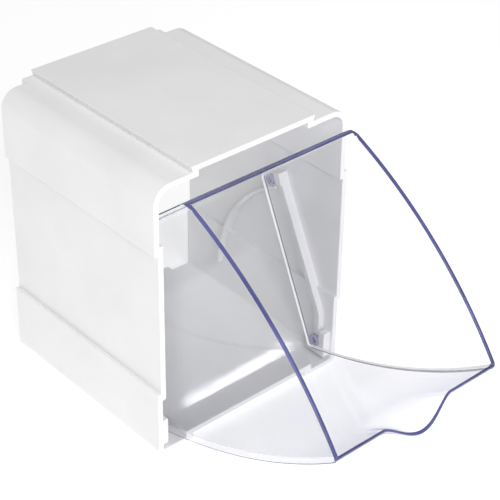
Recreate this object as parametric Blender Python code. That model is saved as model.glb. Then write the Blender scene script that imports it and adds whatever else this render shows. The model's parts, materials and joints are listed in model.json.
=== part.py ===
"""Tilt-out bin module: an open-ended white housing that interlocks with its neighbours, and a clear bin
that swings forward on two pivot pegs until its two guide pegs reach a stop. Modelled with the bin open.

Frame: +X right, the mouth faces -Y, +Z up, metres. The origin is at the bottom centre of the open module."""

import math

import bmesh
import bpy
from mathutils import Vector

# Housing
HOUSING_WIDTH = 0.148  # between the plain side faces
HOUSING_DEPTH = 0.148
HOUSING_HEIGHT = 0.190  # to the plain top face
HOUSING_WALL = 0.0036
TOP_CORNER_RADIUS = 0.012
BASE_CORNER_RADIUS = 0.005

# Dovetails that join one module to the next
RAIL_WIDTH = 0.094  # across the widest part of the top rail
RAIL_HEIGHT = 0.004
RAIL_UNDERCUT = 0.0012
SIDE_RAIL_LOW = 0.047
SIDE_RAIL_BELOW_TOP = 0.0445
SIDE_RAIL_HEIGHT = 0.0022
SIDE_RAIL_UNDERCUT = 0.0008
RAIL_CLEARANCE = 0.0004
WALL_OVERLAP = 0.0055  # how far the inner step lies behind the outer one
REAR_TAB_WIDTH = 0.108
REAR_TAB_LENGTH = 0.006

# Pegs and the bin's swing about the pivot pegs
PEG_RADIUS = 0.0037
PEG_BORE = 0.0017
PEG_MARGIN = 0.0008  # bin wall left round a peg
OPEN_TILT = math.radians(65.5)
CLOSED_TILT = math.radians(3.5)

# Bin, in its own frame: pivot at the origin, bottom level, mouth upwards
BIN_WALL = 0.0026
FLOOR_SET_IN = 0.018  # back edge of the floor to the housing's rear face
BACK_CORNER_RISE = 0.0011  # the back rim's corner past the ceiling, before its fillet takes it under
BACK_CORNER_RUN = 0.0015  # the same corner past the rear face when closed
FRONT_TOP_MARGIN = 0.0063  # front rim to the ceiling when closed
FRONT_TOP_LEAN = 0.002
FRONT_BULGE = 0.009
RIM_BULGE = 0.0115
BACK_RIM_RADIUS = 0.010
FRONT_RIM_RADIUS = 0.004
HEEL_RADIUS = 0.0044
FLOOR_BACK_RADIUS = 0.007
LIP_WIDTH = 0.053
LIP_REACH = 0.0135
LIP_DEPTH = 0.038  # how far down the front wall the lip starts
LIP_FULLNESS = 0.7

# Guides on the housing's side walls
GUIDE_ROOM = 0.0038  # bin wall to the nearest part of the side wall
SIDE_CLEARANCE = 0.001  # bin wall to the nearest guide
SOCKET_CLEARANCE = 0.00035
PEG_END_CLEARANCE = 0.0008
FLOOR_CLEARANCE = 0.0025  # under the bin's heel
GUIDE_PEG_INSET = 0.0039  # guide peg's side to the back edge of the bin's floor
SOCKET_SET_BACK = 0.00215
SOCKET_WALL = 0.0048
SOCKET_LIFT = 0.0016
STOP_THICKNESS = 0.0055
STOP_HEIGHT = 0.008
RAIL_SET_BACK = 0.0012  # the stop rail's face behind the stop block's
STOP_RAIL_THICKNESS = 0.0044
STOP_RAIL_FOOT = 0.021  # height above the pivot at which the rail bends
ARC_CLEARANCE = 0.00145  # curved rail to the guide peg's side
ARC_THICKNESS = 0.0025
ARC_CENTRE_SHIFT = (-0.005, 0.003)
ARC_START = math.radians(4)
ARC_END = math.radians(63)

GAP = 0.0003  # between meshes that touch
OVERRUN = 0.02  # how far a cutter passes its work

HALF_WIDTH = HOUSING_WIDTH / 2
RAIL_HALF = RAIL_WIDTH / 2
SIDE_RAIL_HIGH = HOUSING_HEIGHT - SIDE_RAIL_BELOW_TOP
REAR_Y = HOUSING_DEPTH + REAR_TAB_LENGTH
CEILING = HOUSING_HEIGHT - HOUSING_WALL
RAISED_FLOOR = HOUSING_WALL + RAIL_HEIGHT + RAIL_CLEARANCE
SIDE_FACE = HALF_WIDTH - HOUSING_WALL
GROOVE_FACE = SIDE_FACE - SIDE_RAIL_HEIGHT - RAIL_CLEARANCE
BIN_HALF = GROOVE_FACE - GUIDE_ROOM
PEG_SEAT = PEG_RADIUS + PEG_MARGIN
SOCKET_BORE = PEG_RADIUS + SOCKET_CLEARANCE
PIVOT = Vector((SOCKET_SET_BACK + SOCKET_WALL + SOCKET_BORE, RAISED_FLOOR + FLOOR_CLEARANCE + PEG_SEAT))
FLOOR_BACK = HOUSING_DEPTH - PIVOT.x - FLOOR_SET_IN
TRACK_RADIUS = FLOOR_BACK - GUIDE_PEG_INSET - PEG_RADIUS  # pivot peg to guide peg
ARC_RADIUS = TRACK_RADIUS - PEG_RADIUS - ARC_CLEARANCE - ARC_THICKNESS / 2
STOP_NEAR_ANGLE = OPEN_TILT + (PEG_RADIUS + GAP) / TRACK_RADIUS
STOP_MID_ANGLE = STOP_NEAR_ANGLE + STOP_THICKNESS / 2 / TRACK_RADIUS
STOP_FAR_ANGLE = STOP_NEAR_ANGLE + STOP_THICKNESS / TRACK_RADIUS


def clear_scene():
    for obj in list(bpy.data.objects):
        bpy.data.objects.remove(obj, do_unlink=True)


def plastic(name, colour, roughness, alpha=1.0):
    """A Principled material in one colour."""
    material = bpy.data.materials.new(name)
    material.use_nodes = True
    shader = material.node_tree.nodes["Principled BSDF"]
    shader.inputs["Base Color"].default_value = (*colour, 1.0)
    shader.inputs["Roughness"].default_value = roughness
    shader.inputs["Metallic"].default_value = 0.0
    shader.inputs["Alpha"].default_value = alpha
    return material


def white_plastic(name):
    return plastic(name, (0.86, 0.87, 0.88), 0.42)


def clear_plastic(name):
    return plastic(name, (0.78, 0.80, 0.95), 0.08, 0.35)


# ---- outlines: lists of 2-D points, anticlockwise ----


def rounded(corners):
    """The outline through corners of (a, b, radius), each corner with its fillet."""
    outline = []
    for i, (a, b, radius) in enumerate(corners):
        here = Vector((a, b))
        if radius <= 0:
            outline.append(here)
            continue
        before = (Vector(corners[i - 1][:2]) - here).normalized()
        after = (Vector(corners[(i + 1) % len(corners)][:2]) - here).normalized()
        half_angle = before.angle(after) / 2
        reach = radius / math.tan(half_angle)
        centre = here + (before + after).normalized() * radius / math.sin(half_angle)
        start = here + before * reach - centre
        turn = start.angle_signed(here + after * reach - centre)
        steps = max(2, math.ceil(abs(turn) / math.radians(15)))
        for step in range(steps + 1):
            angle = -turn * step / steps
            spoke = Vector(
                (
                    start.x * math.cos(angle) - start.y * math.sin(angle),
                    start.x * math.sin(angle) + start.y * math.cos(angle),
                )
            )
            outline.append(centre + spoke)
    return outline


def bowed(start, end, bulge, steps):
    """Points between start and end, without the ends, on an arc that bows out to the right by bulge."""
    start, end = Vector(start), Vector(end)
    along = end - start
    out = Vector((along.y, -along.x)).normalized()
    radius = (along.length**2 / 4 + bulge**2) / (2 * bulge)
    centre = (start + end) / 2 + out * (bulge - radius)
    half = math.asin(along.length / 2 / radius)
    points = []
    for step in range(1, steps):
        angle = half * (2 * step / steps - 1)
        points.append(centre + out * radius * math.cos(angle) + along.normalized() * radius * math.sin(angle))
    return points


def inset(outline, distance):
    """The outline moved inwards by distance, with mitred corners."""
    moved = []
    for i, here in enumerate(outline):
        before = (here - outline[i - 1]).normalized()
        after = (outline[(i + 1) % len(outline)] - here).normalized()
        inward_before = Vector((-before.y, before.x))
        inward_after = Vector((-after.y, after.x))
        mitre = (inward_before + inward_after).normalized()
        moved.append(here + mitre * distance / mitre.dot(inward_after))
    return moved


def on_circle(centre, radius, angle):
    return Vector((centre[0] + radius * math.cos(angle), centre[1] + radius * math.sin(angle)))


def strip(path, width):
    """The outline of a strip of the given width along a path."""
    sides = ([], [])
    for i, here in enumerate(path):
        before = (here - path[max(i - 1, 0)]).normalized()
        after = (path[min(i + 1, len(path) - 1)] - here).normalized()
        along = (before + after).normalized()
        across = Vector((along.y, -along.x))
        reach = width / 2 / max(along.dot(after if after.length else before), 0.5)
        sides[0].append(here + across * reach)
        sides[1].append(here - across * reach)
    return sides[0] + sides[1][::-1]


# ---- solids ----


def loft(name, sections, place):
    """A closed solid through sections of equal count; place turns (station, point) into a 3-D point."""
    mesh = bpy.data.meshes.new(name)
    work = bmesh.new()
    rings = [[work.verts.new(place(station, point)) for point in outline] for station, outline in sections]
    for ring, following in zip(rings, rings[1:]):
        for i in range(len(ring)):
            k = (i + 1) % len(ring)
            work.faces.new((ring[i], ring[k], following[k], following[i]))
    work.faces.new(rings[0][::-1])
    work.faces.new(rings[-1])
    bmesh.ops.recalc_face_normals(work, faces=work.faces)
    work.to_mesh(mesh)
    work.free()
    solid = bpy.data.objects.new(name, mesh)
    bpy.context.scene.collection.objects.link(solid)
    return solid


def prism_along_x(name, outline, start, end):
    return loft(name, [(start, outline), (end, outline)], lambda x, p: (x, p.x, p.y))


def prism_along_y(name, outline, start, end):
    return loft(name, [(start, outline), (end, outline)], lambda y, p: (p.x, y, p.y))


def boolean(target, tool, operation):
    """A live EXACT Boolean with a hidden tool."""
    tool.hide_render = True
    tool.display_type = "WIRE"
    cut = target.modifiers.new(f"{operation.lower()}_{tool.name}", "BOOLEAN")
    cut.operation = operation
    cut.solver = "EXACT"
    cut.object = tool


def finish(solid, material, parent):
    solid.data.materials.append(material)
    solid.data.set_sharp_from_angle(angle=math.radians(30))
    for polygon in solid.data.polygons:
        polygon.use_smooth = True
    solid.parent = parent


def empty(name, location, parent=None):
    frame = bpy.data.objects.new(name, None)
    frame.location = location
    frame.parent = parent
    bpy.context.scene.collection.objects.link(frame)
    return frame


# ---- housing ----


def housing_outer():
    """The section of the housing's outside, as (x, z)."""
    mouth = RAIL_HALF - RAIL_UNDERCUT + RAIL_CLEARANCE
    seat = RAIL_HALF + RAIL_CLEARANCE
    groove_x = -HALF_WIDTH + SIDE_RAIL_HEIGHT + RAIL_CLEARANCE
    groove_low = SIDE_RAIL_LOW - RAIL_CLEARANCE
    groove_high = SIDE_RAIL_HIGH + RAIL_CLEARANCE
    top = HOUSING_HEIGHT
    return rounded(
        [
            (-HALF_WIDTH, 0, BASE_CORNER_RADIUS),
            (-mouth, 0, 0),
            (-seat, RAIL_HEIGHT + RAIL_CLEARANCE, 0),
            (seat, RAIL_HEIGHT + RAIL_CLEARANCE, 0),
            (mouth, 0, 0),
            (HALF_WIDTH, 0, BASE_CORNER_RADIUS),
            (HALF_WIDTH, SIDE_RAIL_LOW + SIDE_RAIL_UNDERCUT, 0),
            (HALF_WIDTH + SIDE_RAIL_HEIGHT, SIDE_RAIL_LOW, 0),
            (HALF_WIDTH + SIDE_RAIL_HEIGHT, SIDE_RAIL_HIGH, 0),
            (HALF_WIDTH, SIDE_RAIL_HIGH - SIDE_RAIL_UNDERCUT, 0),
            (HALF_WIDTH, top, TOP_CORNER_RADIUS),
            (RAIL_HALF - RAIL_UNDERCUT, top, 0),
            (RAIL_HALF, top + RAIL_HEIGHT, 0),
            (-RAIL_HALF, top + RAIL_HEIGHT, 0),
            (-RAIL_HALF + RAIL_UNDERCUT, top, 0),
            (-HALF_WIDTH, top, TOP_CORNER_RADIUS),
            (-HALF_WIDTH, groove_high - SIDE_RAIL_UNDERCUT, 0),
            (groove_x, groove_high, 0),
            (groove_x, groove_low, 0),
            (-HALF_WIDTH, groove_low + SIDE_RAIL_UNDERCUT, 0),
        ]
    )


def housing_inner():
    """The section of the housing's inside, as (x, z)."""
    side = SIDE_FACE
    floor = HOUSING_WALL
    raised_ceiling = CEILING + RAIL_HEIGHT
    floor_step = RAIL_HALF + WALL_OVERLAP
    ceiling_step = RAIL_HALF - WALL_OVERLAP
    right = side + SIDE_RAIL_HEIGHT
    left = -GROOVE_FACE
    base_radius = max(BASE_CORNER_RADIUS - HOUSING_WALL, 0)
    top_radius = max(TOP_CORNER_RADIUS - HOUSING_WALL, 0)
    return rounded(
        [
            (-side, floor, base_radius),
            (-floor_step, floor, 0),
            (-floor_step, RAISED_FLOOR, 0),
            (floor_step, RAISED_FLOOR, 0),
            (floor_step, floor, 0),
            (side, floor, base_radius),
            (side, SIDE_RAIL_LOW + WALL_OVERLAP, 0),
            (right, SIDE_RAIL_LOW + WALL_OVERLAP, 0),
            (right, SIDE_RAIL_HIGH - WALL_OVERLAP, 0),
            (side, SIDE_RAIL_HIGH - WALL_OVERLAP, 0),
            (side, CEILING, top_radius),
            (ceiling_step, CEILING, 0),
            (ceiling_step, raised_ceiling, 0),
            (-ceiling_step, raised_ceiling, 0),
            (-ceiling_step, CEILING, 0),
            (-side, CEILING, top_radius),
            (-side, SIDE_RAIL_HIGH + WALL_OVERLAP, 0),
            (left, SIDE_RAIL_HIGH + WALL_OVERLAP, 0),
            (left, SIDE_RAIL_LOW - WALL_OVERLAP, 0),
            (-side, SIDE_RAIL_LOW - WALL_OVERLAP, 0),
        ]
    )


def rear_relief():
    """All that lies behind the plain rear face, apart from the tab at the top."""
    far = HOUSING_WIDTH + HOUSING_HEIGHT
    tab = REAR_TAB_WIDTH / 2
    under = HOUSING_HEIGHT - 2 * HOUSING_WALL
    corners = (
        (-far, -far),
        (far, -far),
        (far, far),
        (tab, far),
        (tab, under),
        (-tab, under),
        (-tab, far),
        (-far, far),
    )
    return [Vector(corner) for corner in corners]


def make_housing(frame):
    housing = prism_along_y("housing", housing_outer(), 0, REAR_Y)
    hollow = prism_along_y("housing_hollow", housing_inner(), -OVERRUN, REAR_Y + OVERRUN)
    relief = prism_along_y("housing_rear_relief", rear_relief(), HOUSING_DEPTH, REAR_Y + OVERRUN)
    boolean(housing, hollow, "DIFFERENCE")
    boolean(housing, relief, "DIFFERENCE")
    hollow.parent = frame
    relief.parent = frame
    finish(housing, white_plastic("housing_plastic"), frame)


# ---- guides on the side walls, as outlines in (y, z) ----


def socket_outline():
    """A hook that holds the pivot peg from the front and from below."""
    bottom = HOUSING_WALL + SOCKET_LIFT
    top = PIVOT.y + SOCKET_BORE + SOCKET_WALL
    bore_arc = [on_circle(PIVOT, SOCKET_BORE, math.radians(angle)) for angle in range(330, 149, -15)]
    heel = Vector((PIVOT.x + SOCKET_BORE + SOCKET_WALL, bore_arc[0].y))
    return [
        Vector((SOCKET_SET_BACK, bottom)),
        Vector((heel.x, bottom)),
        heel,
        *bore_arc,
        Vector((bore_arc[-1].x, top)),
        Vector((SOCKET_SET_BACK, top)),
    ]


def stop_outline():
    """A block across the guide peg's path, square to it."""
    corners = (
        (TRACK_RADIUS - STOP_HEIGHT / 2, STOP_NEAR_ANGLE),
        (TRACK_RADIUS + STOP_HEIGHT / 2, STOP_NEAR_ANGLE),
        (TRACK_RADIUS + STOP_HEIGHT / 2, STOP_FAR_ANGLE),
        (TRACK_RADIUS - STOP_HEIGHT / 2, STOP_FAR_ANGLE),
    )
    return [on_circle(PIVOT, radius, angle) for radius, angle in corners]


def stop_rail_outline():
    """A strip from just above the pivot peg to the middle of the stop block."""
    foot = PIVOT.y + SOCKET_BORE + GAP
    return strip(
        [
            Vector((PIVOT.x, foot)),
            Vector((PIVOT.x, PIVOT.y + STOP_RAIL_FOOT)),
            on_circle(PIVOT, TRACK_RADIUS - STOP_HEIGHT / 4, STOP_MID_ANGLE),
        ],
        STOP_RAIL_THICKNESS,
    )


def arc_outline():
    """The curved rail inside the guide peg's path."""
    centre = PIVOT + Vector(ARC_CENTRE_SHIFT)
    steps = 16
    angles = [ARC_START + (ARC_END - ARC_START) * step / steps for step in range(steps + 1)]
    outer = [on_circle(centre, ARC_RADIUS + ARC_THICKNESS / 2, angle) for angle in angles]
    inner = [on_circle(centre, ARC_RADIUS - ARC_THICKNESS / 2, angle) for angle in reversed(angles)]
    return outer + inner


def make_guides(side, sign, frame):
    """The socket, stop rail and arc rail of one side wall, each cut to the wall that it stands on."""
    room = prism_along_y(f"{side}_wall_face", inset(housing_inner(), GAP), -OVERRUN, REAR_Y + OVERRUN)
    room.parent = frame
    near = BIN_HALF + SIDE_CLEARANCE
    far = HALF_WIDTH + SIDE_RAIL_HEIGHT
    pieces = {
        "pivot_socket": prism_along_x(f"{side}_pivot_socket", socket_outline(), sign * near, sign * far),
        "stop_rail": prism_along_x(
            f"{side}_stop_rail", stop_rail_outline(), sign * (near + RAIL_SET_BACK), sign * far
        ),
        "arc_rail": prism_along_x(
            f"{side}_arc_rail", arc_outline(), sign * (near + RAIL_SET_BACK), sign * far
        ),
    }
    block = prism_along_x(f"{side}_stop_block", stop_outline(), sign * near, sign * far)
    block.parent = frame
    boolean(pieces["stop_rail"], block, "UNION")
    for kind, piece in pieces.items():
        boolean(piece, room, "INTERSECT")
        finish(piece, white_plastic(f"{side}_{kind}_plastic"), frame)


# ---- bin, as outlines in (y, z) of its own frame ----


def lip_push(x):
    """How far the lip carries the front wall outwards at x."""
    share = min(abs(x) / (LIP_WIDTH / 2), 1)
    return LIP_REACH * (0.5 + 0.5 * math.cos(math.pi * share)) ** LIP_FULLNESS


def with_lip(outline, x):
    """The outline with the top of its front wall pushed out by the lip at x."""
    start = bin_corners()[3].y - LIP_DEPTH
    middle = FLOOR_BACK / 2
    pushed = []
    for point in outline:
        rise = min(max((point.y - start) / LIP_DEPTH, 0), 1)
        share = rise**2 if point.x < middle else 0
        pushed.append(point - Vector((lip_push(x) * share, 0)))
    return pushed


def bin_corners():
    """The heel, the back of the floor, the back rim and the front rim.

    The back rim swings just under the ceiling, and ends just inside the rear face when closed."""
    headroom = CEILING - PIVOT.y
    back_reach = headroom + BACK_CORNER_RISE
    closed_back = HOUSING_DEPTH - PIVOT.x + BACK_CORNER_RUN
    back_angle = math.acos(closed_back / back_reach) - CLOSED_TILT
    heel = Vector((-PEG_SEAT, -PEG_SEAT))
    floor_back = Vector((FLOOR_BACK, -PEG_SEAT))
    front_top = Vector((-FRONT_TOP_LEAN, headroom - FRONT_TOP_MARGIN))
    return heel, floor_back, on_circle((0, 0), back_reach, back_angle), front_top


def bin_outer():
    heel, floor_back, back_top, front_top = bin_corners()
    rim = bowed(back_top, front_top, RIM_BULGE, 12)
    front = bowed(front_top, heel, FRONT_BULGE, 16)
    return rounded(
        [
            (*heel, HEEL_RADIUS),
            (*floor_back, FLOOR_BACK_RADIUS),
            (*back_top, BACK_RIM_RADIUS),
            *((*point, 0) for point in rim),
            (*front_top, FRONT_RIM_RADIUS),
            *((*point, 0) for point in front),
        ]
    )


def bin_inner():
    """The inside, open at the mouth: its front and back run on past the rim."""
    heel, floor_back, back_top, front_top = bin_corners()
    front = bowed(front_top, heel, FRONT_BULGE, 16)
    walls = inset([heel, floor_back, back_top, front_top, *front], BIN_WALL)
    inner_heel, inner_floor_back, inner_back_top, inner_front_top = walls[:4]
    up_the_back = (inner_back_top - inner_floor_back).normalized()
    return rounded(
        [
            (*inner_heel, HEEL_RADIUS / 2),
            (*inner_floor_back, FLOOR_BACK_RADIUS - BIN_WALL),
            (*(inner_back_top + up_the_back * OVERRUN), 0),
            (inner_front_top.x, inner_front_top.y + 2 * OVERRUN, 0),
            *((*point, 0) for point in walls[4:]),
        ]
    )


def lip_stations(half_width):
    """Places across the bin at which its section is taken: both ends, and close together over the lip."""
    steps = 12
    across = [LIP_WIDTH * (step / steps - 0.5) for step in range(steps + 1)]
    return [-half_width, *across, half_width]


def make_bin(pivot_frame):
    outer = bin_outer()
    inner = bin_inner()
    stations = lip_stations(BIN_HALF)
    clear_bin = loft("clear_bin", [(x, with_lip(outer, x)) for x in stations], lambda x, p: (x, p.x, p.y))
    stations = lip_stations(BIN_HALF - BIN_WALL)
    hollow = loft("bin_hollow", [(x, with_lip(inner, x)) for x in stations], lambda x, p: (x, p.x, p.y))
    hollow.parent = pivot_frame
    boolean(clear_bin, hollow, "DIFFERENCE")
    finish(clear_bin, clear_plastic("clear_bin_plastic"), pivot_frame)


def make_peg(name, x_near, x_far, y, pivot_frame):
    """A tubular peg along X."""
    sides = 24
    outline = [on_circle((y, 0), PEG_RADIUS, math.tau * i / sides) for i in range(sides)]
    bore = [on_circle((y, 0), PEG_BORE, math.tau * i / sides) for i in range(sides)]
    peg = prism_along_x(name, outline, x_near, x_far)
    sign = math.copysign(1, x_far)
    drill = prism_along_x(f"{name}_bore", bore, x_near - sign * OVERRUN, x_far + sign * OVERRUN)
    drill.parent = pivot_frame
    boolean(peg, drill, "DIFFERENCE")
    finish(peg, clear_plastic(f"{name}_plastic"), pivot_frame)


def make_pegs(side, sign, pivot_frame):
    root = BIN_HALF + GAP
    pivot_end = SIDE_FACE - PEG_END_CLEARANCE
    guide_end = GROOVE_FACE - PEG_END_CLEARANCE
    make_peg(f"{side}_pivot_peg", sign * root, sign * pivot_end, 0, pivot_frame)
    make_peg(f"{side}_guide_peg", sign * root, sign * guide_end, TRACK_RADIUS, pivot_frame)


def front_reach():
    """The lowest Y of the open bin, from the housing's front face."""
    lowest = 0
    for x in lip_stations(BIN_HALF):
        for point in with_lip(bin_outer(), x):
            y = PIVOT.x + point.x * math.cos(OPEN_TILT) - point.y * math.sin(OPEN_TILT)
            lowest = min(lowest, y)
    return lowest


def main():
    clear_scene()
    frame = empty("module_frame", (-SIDE_RAIL_HEIGHT / 2, -(front_reach() + REAR_Y) / 2, 0))
    pivot_frame = empty("bin_pivot", (0, PIVOT.x, PIVOT.y), frame)
    pivot_frame.rotation_euler.x = OPEN_TILT
    make_housing(frame)
    make_bin(pivot_frame)
    for side, sign in (("left", -1), ("right", 1)):
        make_guides(side, sign, frame)
        make_pegs(side, sign, pivot_frame)


main()
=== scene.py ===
"""Finished look of a tilt-out bin module: a white moulded housing with interlocking rails, and a clear bin
that swings on side pegs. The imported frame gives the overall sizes; lengths are in metres."""

import json
import math

import bmesh
import bpy
from bpy.props import FloatProperty, FloatVectorProperty, IntProperty, PointerProperty
from mathutils import Euler, Matrix, Quaternion, Vector


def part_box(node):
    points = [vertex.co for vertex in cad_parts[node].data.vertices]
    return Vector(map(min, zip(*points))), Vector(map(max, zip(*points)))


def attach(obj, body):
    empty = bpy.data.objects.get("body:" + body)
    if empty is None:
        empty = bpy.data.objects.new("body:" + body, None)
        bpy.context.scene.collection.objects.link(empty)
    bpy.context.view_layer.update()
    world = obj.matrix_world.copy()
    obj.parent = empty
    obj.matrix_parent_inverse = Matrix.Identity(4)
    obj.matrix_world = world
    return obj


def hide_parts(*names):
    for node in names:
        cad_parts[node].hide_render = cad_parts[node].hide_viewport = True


bl_info = {
    "name": "Tilt Bin Module",
    "version": (1, 0, 0),
    "blender": (4, 5, 0),
    "location": "3D View > Sidebar > Tilt Bin",
    "description": "Builds the housing, guides, clear bin and pegs of a tilt-out bin module, and its studio",
    "category": "Add Mesh",
}

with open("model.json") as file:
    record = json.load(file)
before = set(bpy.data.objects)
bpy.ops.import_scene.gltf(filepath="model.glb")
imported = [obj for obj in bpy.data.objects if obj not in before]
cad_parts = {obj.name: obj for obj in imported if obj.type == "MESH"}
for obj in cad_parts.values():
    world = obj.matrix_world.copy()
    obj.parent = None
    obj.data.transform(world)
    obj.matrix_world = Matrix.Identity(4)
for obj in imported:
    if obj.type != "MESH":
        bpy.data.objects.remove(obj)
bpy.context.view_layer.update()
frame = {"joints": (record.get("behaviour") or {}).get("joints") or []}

HOUSING_LOW, HOUSING_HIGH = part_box("housing")
BIN_LOW, BIN_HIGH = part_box("clear_bin")
PIVOT = Vector(frame["joints"][0]["pos_m"])
SIDES = (("left", -1), ("right", 1))

SHARP = math.radians(35)  # an edge that turns further than this gets a fillet
FILLET_SEGMENTS = 3
BOW_STEPS = 40
LIP_STEPS = 48
SAME_PLACE = 1e-6
MERGE_DISTANCE = 1e-7
PARALLEL = 1e-12  # cross product below which two segments count as parallel


# ---- user settings ----


def length(name, description, default):
    return one(name, description, default, subtype="DISTANCE", unit="LENGTH")


def incline(name, description, degrees):
    return one(name, description, math.radians(degrees), subtype="ANGLE", unit="ROTATION")


def strength(name, description, default):
    return one(name, description, default, subtype="FACTOR", min=0.0)


def watts(name, description, default):
    return one(name, description, default, unit="POWER", min=0.0)


def one(name, description, default, **limits):
    return FloatProperty(name=name, description=description, default=default, **limits)


def position(name, description, default):
    return three(name, description, default, subtype="XYZ", unit="LENGTH")


def colour(name, description, default):
    return three(name, description, default, subtype="COLOR", min=0.0, max=1.0)


def three(name, description, default, **limits):
    return FloatVectorProperty(name=name, description=description, default=default, **limits)


class HousingSettings(bpy.types.PropertyGroup):
    wall: length("Wall", "Thickness of the moulded wall", 0.0036)
    top_rail: length("Top Rail", "Height of the dovetail rail on the top", 0.004)
    top_undercut: length("Top Undercut", "How far the top rail widens towards its face", 0.0012)
    side_rail: length("Side Rail", "Height of the dovetail rail on the right side", 0.0022)
    side_undercut: length("Side Undercut", "How far the side rail widens towards its face", 0.0008)
    rail_clearance: length("Rail Clearance", "Room round a rail in its groove", 0.0004)
    rail_width: length("Rail Width", "Width of the top rail at its face", 0.094)
    side_low: length("Side Rail Foot", "Lower edge of the side rail above the base", 0.047)
    side_below_top: length("Side Rail Head", "Upper edge of the side rail below the plain top", 0.0445)
    step_overlap: length("Step Overlap", "How far an inner step lies behind the outer one", 0.0055)
    tab_width: length("Tab Width", "Width of the tab at the rear of the top", 0.108)
    tab_length: length("Tab Length", "Length of the tab behind the plain rear face", 0.006)
    top_radius: length("Top Radius", "Outer radius of the top corners", 0.012)
    base_radius: length("Base Radius", "Outer radius of the base corners", 0.005)
    edge_fillet: length("Edge Fillet", "Softness of the moulded edges", 0.00055)
    shade: colour("Shade", "Colour of the moulding", (0.875, 0.875, 0.881))


class GuideSettings(bpy.types.PropertyGroup):
    side_clearance: length("Side Clearance", "Bin wall to the nearest guide", 0.001)
    set_back: length("Set Back", "Face of a rail behind the face of its stop block", 0.0012)
    root: length("Root", "How far a guide runs into the wall that it stands on", 0.0005)
    strip: length("Strip", "Thickness of the stop rail", 0.0044)
    bend: length("Bend", "Height of the stop rail's bend above the pivot", 0.021)
    bend_radius: length("Bend Radius", "Radius of the stop rail's bend", 0.012)
    foot: length("Foot", "Foot of the stop rail above the pivot", 0.00435)
    block: length("Block", "Thickness of the stop block", 0.0055)
    block_height: length("Block Height", "Height of the stop block across the guide peg's path", 0.008)
    block_clearance: length("Block Clearance", "Guide peg to its stop block when open", 0.0003)
    arc_strip: length("Arc Strip", "Thickness of the curved rail", 0.0025)
    arc_clearance: length("Arc Clearance", "Curved rail to the guide peg's side", 0.00145)
    arc_back: length("Arc Back", "How far the curved rail's centre lies in front of the pivot", 0.005)
    arc_up: length("Arc Up", "How far the curved rail's centre lies above the pivot", 0.003)
    socket_wall: length("Socket Wall", "Thickness of the hook round the pivot peg", 0.0048)
    socket_clearance: length("Socket Clearance", "Room round the pivot peg in its hook", 0.00035)
    socket_lift: length("Socket Lift", "Foot of the hook above the floor", 0.0016)
    edge_fillet: length("Edge Fillet", "Softness of the guides' edges", 0.0005)


class BinSettings(bpy.types.PropertyGroup):
    wall: length("Wall", "Thickness of the clear wall", 0.0026)
    floor_length: length("Floor Length", "Pivot to the back edge of the floor", 0.119)
    peg_seat: length("Peg Seat", "Pivot to the outside of the floor and of the front wall's heel", 0.0045)
    back_reach: length("Back Reach", "Pivot to the corner of the back rim", 0.1725)
    back_overhang: length("Back Overhang", "Back rim behind the plain rear face when closed", 0.0015)
    front_reach: length("Front Reach", "Height of the front rim over the pivot with the floor level", 0.16488)
    front_lean: length("Front Lean", "How far the front rim lies in front of the pivot", 0.002)
    front_bulge: length("Front Bulge", "Outward bow of the front wall", 0.009)
    rim_bulge: length("Rim Bulge", "Outward bow of the mouth's rim", 0.0115)
    back_radius: length("Back Radius", "Radius of the rim's back corners", 0.010)
    front_radius: length("Front Radius", "Radius of the rim's front corners", 0.004)
    heel_radius: length("Heel Radius", "Outer radius between the floor and the front wall", 0.0044)
    floor_radius: length("Floor Radius", "Outer radius between the floor and the back wall", 0.007)
    lip_width: length("Lip Width", "Width of the finger lip", 0.053)
    lip_reach: length("Lip Reach", "How far the finger lip stands out", 0.0135)
    lip_depth: length("Lip Depth", "How far down the front wall the lip starts", 0.038)
    lip_fullness: strength("Lip Fullness", "How pointed the lip is; a lower value is squarer", 0.7)
    rim_fillet: length("Rim Fillet", "Softness of the rim", 0.00075)
    rim_depth: length("Rim Depth", "How far the rim's colour runs down inside the front", 0.0016)
    fold_fillet: length("Fold Fillet", "Softness of the folds between the walls", 0.001)
    tint: colour("Tint", "Colour that the clear wall passes", (0.984, 0.985, 0.990))
    slant_tint: colour("Slant Tint", "Colour that the wall passes at a grazing view", (0.24, 0.24, 0.42))
    # Painted light: the rim's blue-violet is the plastic's own tint, and its lightness stands for light run
    # along the plastic and out of the rim
    painted_rim_glow: colour("Edge Tint", "Colour of the plastic seen along its length", (0.066, 0.068, 0.20))
    open_tilt: incline("Open Tilt", "Slope of the floor when open", 65.5)
    closed_tilt: incline("Closed Tilt", "Slope of the floor when closed", 3.5)


class PegSettings(bpy.types.PropertyGroup):
    bore: length("Bore", "Radius of the hollow of a peg", 0.0017)
    fillet: length("Fillet", "Softness of a peg's rim", 0.0004)
    sides: IntProperty(name="Sides", description="Points round a peg", default=64, min=12)


class StageSettings(bpy.types.PropertyGroup):
    camera: position("Camera", "Place of the camera", (-0.53008, -0.59089, 0.64292))
    target: position("Target", "Point in the middle of the view", (-0.06675, -0.0751, 0.1829))
    roll: incline("Roll", "Turn about the line of sight", 0.892)
    lens: one("Lens", "Focal length", 114.9, unit="CAMERA")
    tent: strength("Tent", "Strength of the light from all round", 0.39)
    key: watts("Key", "Power of the front softbox", 19.0)
    overhead: watts("Overhead", "Power of the overhead softbox", 3.4)
    low: watts("Low", "Power of the low softbox", 0.36)
    strip: watts("Strip", "Power of the low strip light", 0.27)
    floor_shade: colour("Floor", "Colour of the floor", (0.93, 0.93, 0.93))
    glow: strength("Glow", "How strongly the floor gives light of its own", 0.41)


SETTINGS = {
    "tilt_housing": HousingSettings,
    "tilt_guides": GuideSettings,
    "tilt_bin": BinSettings,
    "tilt_pegs": PegSettings,
    "tilt_stage": StageSettings,
}


# ---- outlines: lists of 2-D points, anticlockwise ----


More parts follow.
